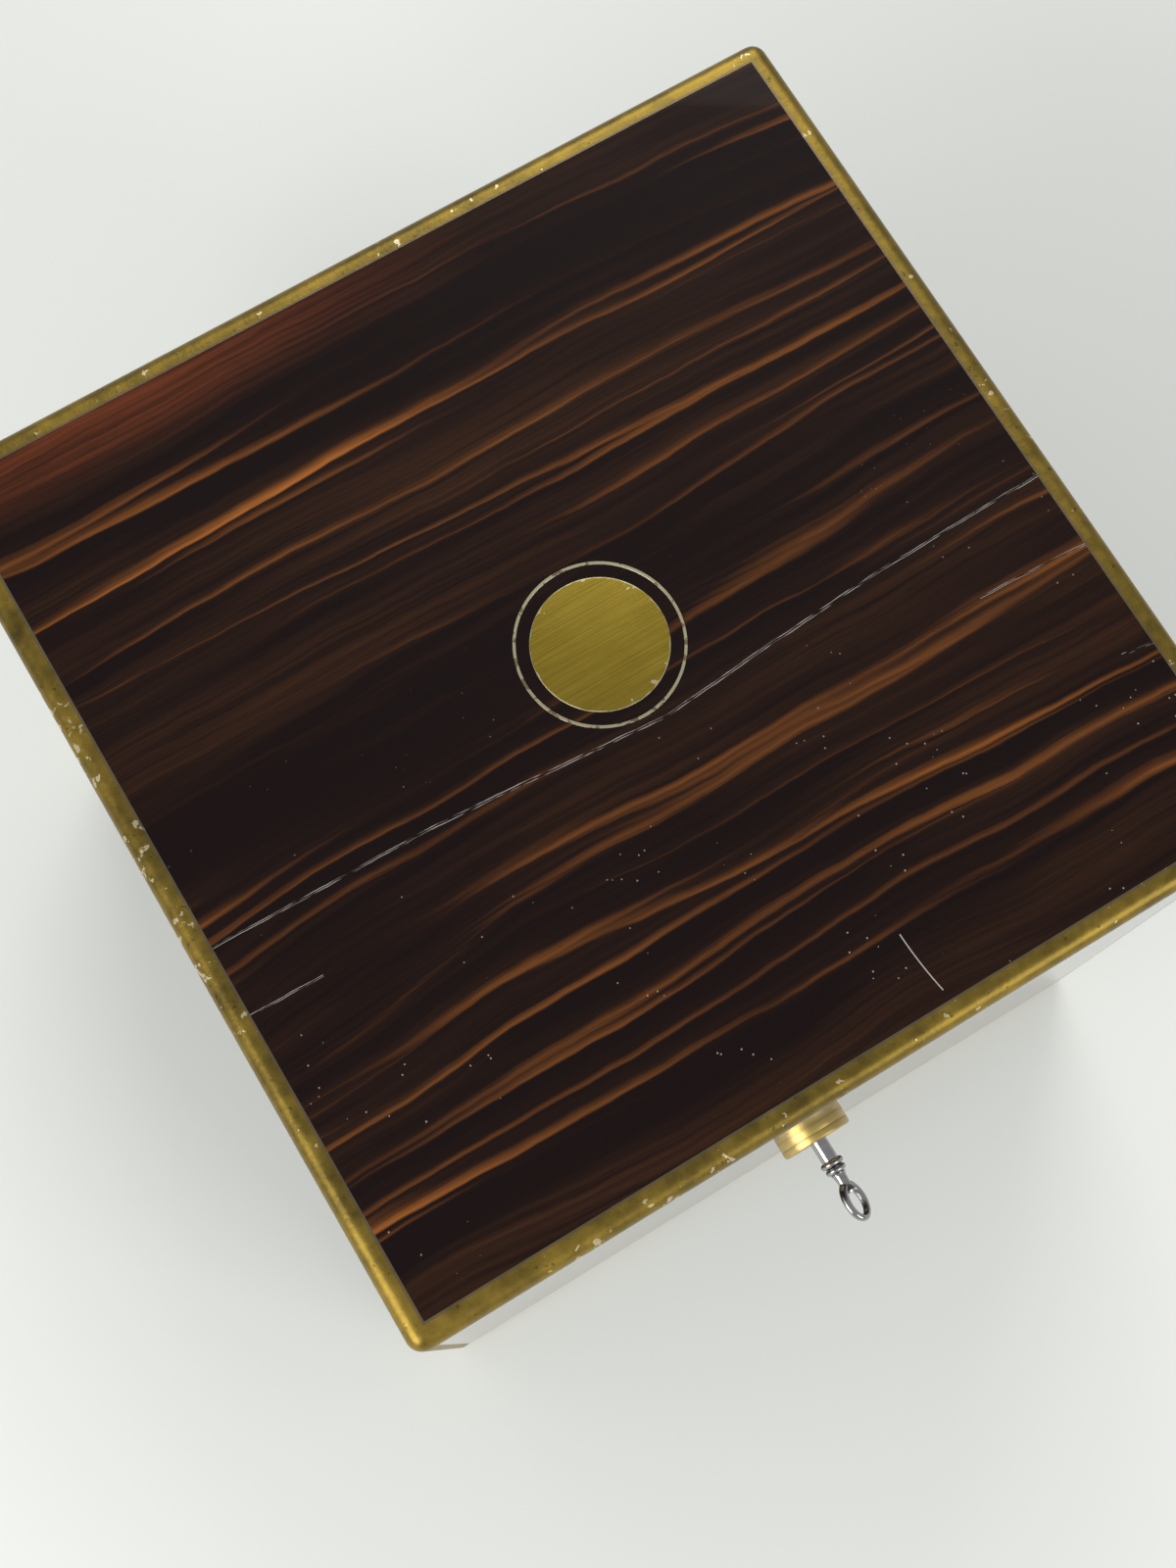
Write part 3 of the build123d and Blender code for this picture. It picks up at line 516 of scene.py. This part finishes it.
def add_bar(bm, low, high, is_round, radius, segments=7):
    """A bar between two corners. Edges that is_round picks by their middle are rounded."""
    size = Vector(high) - Vector(low)
    centre = (Vector(high) + Vector(low)) / 2
    made = bmesh.ops.create_cube(bm, size=1.0)["verts"]
    bmesh.ops.scale(bm, vec=size, verts=made)
    bmesh.ops.translate(bm, vec=centre, verts=made)
    edges = {e for v in made for e in v.link_edges}
    chosen = [e for e in edges if is_round((e.verts[0].co + e.verts[1].co) / 2 - centre)]
    bmesh.ops.bevel(
        bm,
        geom=chosen,
        offset=radius,
        segments=segments,
        profile=0.5,
        affect="EDGES",
        material=-1,
    )


def add_turned(bm, profile, origin, axis, steps=96):
    """Spins a profile of (distance along the axis, radius) pairs round the axis."""
    axis = Vector(axis).normalized()
    side = axis.orthogonal().normalized()
    verts = [bm.verts.new(Vector(origin) + axis * s + side * r) for s, r in profile]
    edges = [bm.edges.new(pair) for pair in zip(verts, verts[1:])]
    bmesh.ops.spin(
        bm,
        geom=verts + edges,
        cent=origin,
        axis=axis,
        angle=math.tau,
        steps=steps,
        use_merge=True,
    )


def every_edge(at):
    """Picks all twelve edges of a bar."""
    return True


def upper_edge(at):
    """Picks the edges round the top of a tall bar."""
    return at.z > FAR


def upright_edge(at):
    """Picks the upright corners of a thin sheet."""
    return abs(at.z) < NEAR / 10


def outer_edge(across, side, end):
    """Picks the long edge of a rail: outer, and upper (end 1) or lower (end -1)."""
    along = 1 - across

    def chosen(at):
        outward = at[across] * side > NEAR and at.z * end > NEAR
        return outward and abs(at[along]) < NEAR

    return chosen


def corner_edge(side_x, side_y, end):
    """Picks a corner strip's upright edge and the edges round its outer end."""

    def chosen(at):
        out_x, out_y = at.x * side_x > NEAR, at.y * side_y > NEAR
        upright = out_x and out_y and abs(at.z) < NEAR
        return upright or (at.z * end > FAR and (out_x or out_y))

    return chosen


class BoxLooks(bpy.types.PropertyGroup):
    """Colours and sizes of the box that a user may change."""

    veneer_dark: bpy.props.FloatVectorProperty(
        name="Veneer, dark",
        description="Ground colour of the veneer",
        subtype="COLOR",
        default=(0.0072, 0.0032, 0.0030),
    )
    veneer_mid: bpy.props.FloatVectorProperty(
        name="Veneer, brown",
        description="Brown between the dark ground and the streaks",
        subtype="COLOR",
        default=(0.052, 0.020, 0.0075),
    )
    veneer_streak: bpy.props.FloatVectorProperty(
        name="Veneer, streak",
        description="Orange-brown of the strongest streaks",
        subtype="COLOR",
        default=(0.36, 0.115, 0.022),
    )
    split: bpy.props.FloatVectorProperty(
        name="Split",
        description="Pale colour in the hairline splits",
        subtype="COLOR",
        default=(0.34, 0.30, 0.27),
    )
    brass_toned: bpy.props.FloatVectorProperty(
        name="Brass, toned",
        description="Edging where the lacquer has darkened",
        subtype="COLOR",
        default=(0.095, 0.069, 0.020),
    )
    brass_bright: bpy.props.FloatVectorProperty(
        name="Brass, rubbed",
        description="Edging where it is rubbed bright",
        subtype="COLOR",
        default=(0.32, 0.215, 0.038),
    )
    plate: bpy.props.FloatVectorProperty(
        name="Plate",
        description="Brushed brass of the round plate",
        subtype="COLOR",
        default=(0.285, 0.205, 0.030),
    )
    plate_dark: bpy.props.FloatVectorProperty(
        name="Plate, stained",
        description="Stained parts of the round plate",
        subtype="COLOR",
        default=(0.200, 0.142, 0.018),
    )
    boss: bpy.props.FloatVectorProperty(
        name="Boss",
        description="Turned brass round the keyhole",
        subtype="COLOR",
        default=(0.56, 0.41, 0.13),
    )
    velvet: bpy.props.FloatVectorProperty(
        name="Velvet",
        description="Lining of the box and lid",
        subtype="COLOR",
        default=(0.16, 0.012, 0.022),
    )
    floor: bpy.props.FloatVectorProperty(
        name="Floor",
        description="The pale floor under the box",
        subtype="COLOR",
        default=(0.76, 0.775, 0.73),
    )
    edging_round: bpy.props.FloatProperty(
        name="Edging radius",
        description="Outer rounding of the brass edging",
        unit="LENGTH",
        default=0.004,
    )
    edging_width: bpy.props.FloatProperty(
        name="Edging width",
        description="Width of the brass edging on each face",
        unit="LENGTH",
        default=0.0058,
    )


class BOX_OT_stage(bpy.types.Operator):
    """Floor, lights and camera"""

    bl_idname = "decanter_box.stage"
    bl_label = "Stage"

    def execute(self, context):
        looks = context.scene.box_looks
        bm = bmesh.new()
        bmesh.ops.create_grid(bm, x_segments=4, y_segments=4, size=3.0)
        mesh = bpy.data.meshes.new("floor")
        bm.to_mesh(mesh)
        bm.free()
        floor = bpy.data.objects.new("floor", mesh)
        context.scene.collection.objects.link(floor)
        paint = Finish("floor_paint", Roughness=0.55)
        cloud = paint.noise(paint.place, 3.0, 2.0)
        shaded = shade_of(looks.floor, 0.975)
        paint.set(Base_Color=paint.mix(cloud, rgb(looks.floor), shaded))
        mesh.materials.append(paint.material)
        self.light_room(context)
        self.place_camera(context)
        return {"FINISHED"}

    def light_room(self, context):
        world = bpy.data.worlds.new("room")
        world.use_nodes = True
        tree = world.node_tree
        tree.nodes["Background"].inputs[0].default_value = SKY
        tree.nodes["Background"].inputs[1].default_value = 0.55
        context.scene.world = world
        for name, place, size, power in LAMPS:
            lamp = bpy.data.lights.new(name, "AREA")
            lamp.shape = "SQUARE"
            lamp.size = size
            lamp.energy = power
            holder = bpy.data.objects.new(name, lamp)
            aim = BOX_MIDDLE - Vector(place)
            holder.location = place
            holder.rotation_euler = aim.to_track_quat("-Z", "Y").to_euler()
            context.scene.collection.objects.link(holder)

    def place_camera(self, context):
        lens = bpy.data.cameras.new("camera")
        lens.lens = VIEW_LENS
        lens.sensor_width = VIEW_SENSOR
        lens.clip_start = 0.01
        camera = bpy.data.objects.new("camera", lens)
        columns = (Vector(VIEW_RIGHT), -Vector(VIEW_DOWN), -Vector(VIEW_FORWARD))
        turn = Matrix(columns).transposed().to_4x4()
        camera.matrix_world = Matrix.Translation(VIEW_PLACE) @ turn
        context.scene.collection.objects.link(camera)
        context.scene.camera = camera
        context.scene.view_settings.view_transform = "Standard"


class BOX_OT_veneer(bpy.types.Operator):
    """Veneer on the lid and the base"""

    bl_idname = "decanter_box.veneer"
    bl_label = "Veneer"

    def execute(self, context):
        looks = context.scene.box_looks
        dress("lid_top_veneer", streaked_veneer("veneer_top", looks, True))
        sides = streaked_veneer("veneer_sides", looks, False)
        dress("lid_side_veneer", sides)
        dress("case_veneer", sides)
        return {"FINISHED"}


class BOX_OT_boards(bpy.types.Operator):
    """Boards under the veneer and the facing on the rims"""

    bl_idname = "decanter_box.boards"
    bl_label = "Boards"

    def execute(self, context):
        lengthwise = plain_wood("board_along_x", *BARE_WOOD, 0)
        crosswise = plain_wood("board_along_y", *BARE_WOOD, 1)
        for node in (
            "case_front_board",
            "case_back_board",
            "case_bottom_board",
            "lid_front_board",
            "lid_back_board",
            "lid_top_board",
        ):
            dress(node, lengthwise)
        for node in ("case_side_boards", "lid_side_boards"):
            dress(node, crosswise)
        facing = plain_wood("facing", *FACING_WOOD, 0)
        dress("case_rim_facing", facing)
        dress("lid_rim_facing", facing)
        return {"FINISHED"}


class BOX_OT_edging(bpy.types.Operator):
    """Rounded brass edging of the lid and the base"""

    bl_idname = "decanter_box.edging"
    bl_label = "Brass edging"

    def execute(self, context):
        looks = context.scene.box_looks
        brass = edging_brass("edging_brass", looks)
        width, radius = looks.edging_width, looks.edging_round
        self.strips("lid_corner_edging", "lid", brass, width, radius, 1)
        self.strips("case_corner_edging", "case", brass, width, radius, -1)
        self.rails("lid_top_edging", "lid", brass, width, radius, 1)
        self.rails("case_bottom_edging", "case", brass, width, radius, -1)
        return {"FINISHED"}

    def strips(self, node, body, brass, width, radius, end):
        """Four corner strips, ball-rounded at their top (end 1) or foot (end -1)."""
        low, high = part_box(node)
        bm = bmesh.new()
        for side_x in (-1, 1):
            for side_y in (-1, 1):
                x = sorted((side_x * high.x, side_x * (high.x - width)))
                y = sorted((side_y * high.y, side_y * (high.y - width)))
                start, stop = (x[0], y[0], low.z), (x[1], y[1], high.z)
                add_bar(bm, start, stop, corner_edge(side_x, side_y, end), radius)
        finished(node + "_brass", bm, brass, body, node)

    def rails(self, node, body, brass, width, radius, end):
        """Four rails, rounded along their outer edge."""
        low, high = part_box(node)
        inner = high.x - width
        bm = bmesh.new()
        for side in (-1, 1):
            for across in (1, 0):
                start = Vector((-inner, -inner, low.z))
                stop = Vector((inner, inner, high.z))
                ends = sorted((side * inner, side * high[across]))
                start[across], stop[across] = ends
                add_bar(bm, start, stop, outer_edge(across, side, end), radius)
        finished(node + "_brass", bm, brass, body, node)


class BOX_OT_inlay(bpy.types.Operator):
    """Round plate and ring let into the lid"""

    bl_idname = "decanter_box.inlay"
    bl_label = "Plate and ring"

    def execute(self, context):
        looks = context.scene.box_looks
        self.lay_plate(plate_brass("plate_brass", looks))
        self.lay_ring(steel("ring_brass", RING_BRASS, 0.26, 0.42))
        return {"FINISHED"}

    def lay_plate(self, brass):
        """A disc with its rim worn round."""
        low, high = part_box("initial_plate")
        radius, thick = high.x, high.z - low.z
        worn, begun = 0.0005, 0.00018
        profile = [(0, 0), (0, radius), (0.7 * thick, radius)]
        profile += [(0.93 * thick, radius - begun), (thick, radius - worn), (thick, 0)]
        bm = bmesh.new()
        add_turned(bm, profile, (0, 0, low.z), (0, 0, 1), 160)
        finished("initial_plate_brushed", bm, brass, "lid", "initial_plate")

    def lay_ring(self, brass):
        """A flat ring with softened edges."""
        low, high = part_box("stringing_ring")
        outer, inner, thick = high.x, high.x - 0.001, high.z - low.z
        soft = 0.00015
        profile = [(0, inner), (0, outer), (thick - soft, outer), (thick, outer - soft)]
        profile += [(thick, inner + soft), (thick - soft, inner), (0, inner)]
        bm = bmesh.new()
        add_turned(bm, profile, (0, 0, low.z), (0, 0, 1), 192)
        finished("stringing_ring_inlaid", bm, brass, "lid", "stringing_ring")


class BOX_OT_lock(bpy.types.Operator):
    """Turned boss, lock furniture and the pipe key"""

    bl_idname = "decanter_box.lock"
    bl_label = "Lock and key"

    def execute(self, context):
        looks = context.scene.box_looks
        brass = turned_brass("boss_brass", looks)
        self.turn_boss(brass)
        dress("lock_barrel", brass)
        plate = edging_brass("lock_plate_brass", looks)
        for node in ("lock_plate", "strike_plate", "lock_screws", "strike_screws"):
            dress(node, plate)
        filed = steel("filed_steel", FILED_STEEL, 0.35, 0.36)
        dress("lock_case", filed)
        dress("lock_bolt", filed)
        self.make_key()
        return {"FINISHED"}

    def turn_boss(self, brass):
        """The round boss, with a softened rim, one turned line and its stem behind."""
        low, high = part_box("lock_boss")
        rim, deep = high.x, high.y - low.y
        proud, stem, bore = 0.0045, 0.008, 0.00525
        mouth, bevel, line_at, line_deep = 0.0009, 0.0006, 0.0022, 0.00012
        profile = [(bevel, bore), (0.0001, bore + 0.0004), (0, bore + mouth)]
        profile += [(0, rim - bevel), (0.0002, rim - 0.0002), (0.0007, rim)]
        profile += [(line_at - 0.0001, rim), (line_at, rim - line_deep)]
        profile += [(line_at + 0.0002, rim), (proud, rim), (proud, stem)]
        profile += [(deep, stem), (deep, bore), (bevel, bore)]
        bm = bmesh.new()
        add_turned(bm, profile, (0, low.y, (low.z + high.z) / 2), (0, 1, 0), 128)
        finished("lock_boss_turned", bm, brass, "case", "lock_boss")

    def make_key(self):
        """A turned shaft with two beads, an oval bow, and a lug for the cam."""
        boss_low, boss_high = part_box("lock_boss")
        face, height = boss_low.y, (boss_low.z + boss_high.z) / 2
        low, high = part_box("key")
        tip = high.y - face
        bm = bmesh.new()
        add_turned(bm, self.shaft_profile(tip), (0, face, height), (0, 1, 0), 64)
        self.add_bow(bm, Vector((0, low.y + BOW_HALF_LONG, height)))
        lug = bmesh.ops.create_cube(bm, size=1.0)["verts"]
        bmesh.ops.scale(bm, vec=KEY_LUG, verts=lug)
        lug_drop = PIPE_RADIUS + KEY_LUG[2] / 4
        lug_place = (0, high.y - KEY_LUG[1] / 2, height - lug_drop)
        bmesh.ops.translate(bm, vec=lug_place, verts=lug)
        polished = steel("polished_steel", POLISHED_STEEL, 0.09, 0.30)
        finished("key_polished", bm, polished, "key", "key")

    def shaft_profile(self, tip):
        """Bored pipe, two beads and neck, measured in from the boss's face."""
        bore, bored, soft = 0.00158, 0.014, 0.0003
        profile = [(tip - bored - 0.0005, 0), (tip - bored, bore), (tip, bore)]
        profile += [(tip, PIPE_RADIUS - soft), (tip - soft, PIPE_RADIUS)]
        profile += [(-0.0056, PIPE_RADIUS)]
        rise = 0.0011
        for middle, reach in KEY_BEADS:
            for step in range(9):
                turn = math.pi * step / 8
                along = middle + BEAD_HALF * math.cos(turn)
                profile.append((along, reach - rise + rise * math.sin(turn)))
        return profile + KEY_NECK

    def add_bow(self, bm, centre):
        """An oval ring, thicker at one end, turned 45 degrees on the key's axis."""
        reach_long, reach_wide = BOW_HALF_LONG - BOW_STOCK, BOW_HALF_WIDE - BOW_STOCK
        bow = bmesh.new()
        section = bmesh.ops.create_circle(bow, segments=20, radius=BOW_STOCK)["verts"]
        stand = Matrix.Translation((reach_long, 0, 0)) @ Matrix.Rotation(math.pi / 2, 4, "X")
        bmesh.ops.transform(bow, matrix=stand, verts=section)
        bmesh.ops.spin(
            bow,
            geom=section + bow.edges[:],
            cent=(0, 0, 0),
            axis=(0, 0, 1),
            angle=math.tau,
            steps=72,
            use_merge=True,
        )
        for vert in bow.verts:
            angle = math.atan2(vert.co.y, vert.co.x)
            out = Vector((math.cos(angle), math.sin(angle), 0))
            thick = 1.0 + 0.12 * out.x
            oval = Vector((reach_long * out.x, reach_wide * out.y, 0))
            off = math.hypot(vert.co.x, vert.co.y) - reach_long
            vert.co = oval + out * off * thick + Vector((0, 0, vert.co.z * thick))
        turn = Matrix.Rotation(math.radians(45), 4, "Y") @ Matrix.Rotation(math.pi / 2, 4, "Z")
        place = Matrix.Translation(centre) @ turn
        bmesh.ops.transform(bow, matrix=place, verts=bow.verts)
        mesh = bpy.data.meshes.new("bow")
        bow.to_mesh(mesh)
        bow.free()
        bm.from_mesh(mesh)
        bpy.data.meshes.remove(mesh)


class BOX_OT_hinges(bpy.types.Operator):
    """Back hinges, their pins and screws"""

    bl_idname = "decanter_box.hinges"
    bl_label = "Hinges"

    def execute(self, context):
        looks = context.scene.box_looks
        brass = edging_brass("hinge_brass", looks)
        for node in (
            "case_hinge_leaves",
            "lid_hinge_leaves",
            "case_hinge_screws",
            "lid_hinge_screws",
        ):
            dress(node, brass)
        dress("hinge_pins", steel("pin_steel", PIN_STEEL, 0.3, 0.34))
        return {"FINISHED"}


class BOX_OT_lining(bpy.types.Operator):
    """Velvet lining, covered dividers and the baize under the box"""

    bl_idname = "decanter_box.lining"
    bl_label = "Lining"

    def execute(self, context):
        red = rgb(context.scene.box_looks.velvet)
        velvet = pile_cloth("velvet", red, shade_of(red, 1.9), 1900.0)
        soft, thick = 0.0006, 0.002
        for node, body in (("case_lining_floor", "case"), ("lid_lining_top", "lid")):
            bm = bmesh.new()
            add_bar(bm, *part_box(node), every_edge, soft, 3)
            finished(node + "_velvet", bm, velvet, body, node)
        for node, body in (("case_lining_walls", "case"), ("lid_lining_walls", "lid")):
            low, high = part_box(node)
            span = high.y - thick
            bm = bmesh.new()
            for side in (-1, 1):
                y = sorted((side * high.y, side * span))
                start, stop = (low.x, y[0], low.z), (high.x, y[1], high.z)
                add_bar(bm, start, stop, every_edge, soft, 3)
                x = sorted((side * high.x, side * (high.x - thick)))
                start, stop = (x[0], -span, low.z), (x[1], span, high.z)
                add_bar(bm, start, stop, every_edge, soft, 3)
            finished(node + "_velvet", bm, velvet, body, node)
        self.cover_dividers(velvet)
        low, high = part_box("base_baize")
        bm = bmesh.new()
        add_bar(bm, low, high, upright_edge, 0.004, 5)
        baize = pile_cloth("baize", *BAIZE, 1300.0)
        finished("base_baize_cloth", bm, baize, "case", "base_baize")
        return {"FINISHED"}

    def cover_dividers(self, velvet):
        """One long divider, and a cross divider in two halves against it."""
        rounding = 0.0015
        bm = bmesh.new()
        add_bar(bm, *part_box("divider_long"), upper_edge, rounding, 5)
        finished("divider_long_velvet", bm, velvet, "case", "divider_long")
        low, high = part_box("divider_cross")
        half_thick = high.x
        bm = bmesh.new()
        add_bar(bm, low, (high.x, -half_thick, high.z), upper_edge, rounding, 5)
        add_bar(bm, (low.x, half_thick, low.z), high, upper_edge, rounding, 5)
        finished("divider_cross_velvet", bm, velvet, "case", "divider_cross")


class BOX_OT_decanters(bpy.types.Operator):
    """Four cut-glass decanters and their stoppers"""

    bl_idname = "decanter_box.decanters"
    bl_label = "Decanters"

    def execute(self, context):
        glass = cut_glass("cut_glass")
        for number in range(1, 5):
            dress(f"decanter_{number}", glass)
            dress(f"stopper_{number}", glass)
        return {"FINISHED"}


class BOX_PT_panel(bpy.types.Panel):
    """The steps that dress the box, in order"""

    bl_idname = "BOX_PT_panel"
    bl_label = "Decanter Box"
    bl_space_type = "VIEW_3D"
    bl_region_type = "UI"
    bl_category = "Decanter Box"

    def draw(self, context):
        for step in STEPS:
            self.layout.operator(step.bl_idname)


STEPS = (
    BOX_OT_stage,
    BOX_OT_veneer,
    BOX_OT_boards,
    BOX_OT_edging,
    BOX_OT_inlay,
    BOX_OT_lock,
    BOX_OT_hinges,
    BOX_OT_lining,
    BOX_OT_decanters,
)


def register():
    for made in (BoxLooks, *STEPS, BOX_PT_panel):
        bpy.utils.register_class(made)
    bpy.types.Scene.box_looks = bpy.props.PointerProperty(type=BoxLooks)


def unregister():
    del bpy.types.Scene.box_looks
    for made in reversed((BoxLooks, *STEPS, BOX_PT_panel)):
        bpy.utils.unregister_class(made)


def main():
    """Dresses the box."""
    register()
    for step in STEPS:
        group, name = step.bl_idname.split(".")
        getattr(getattr(bpy.ops, group), name)()


if __name__ == "__main__":
    main()
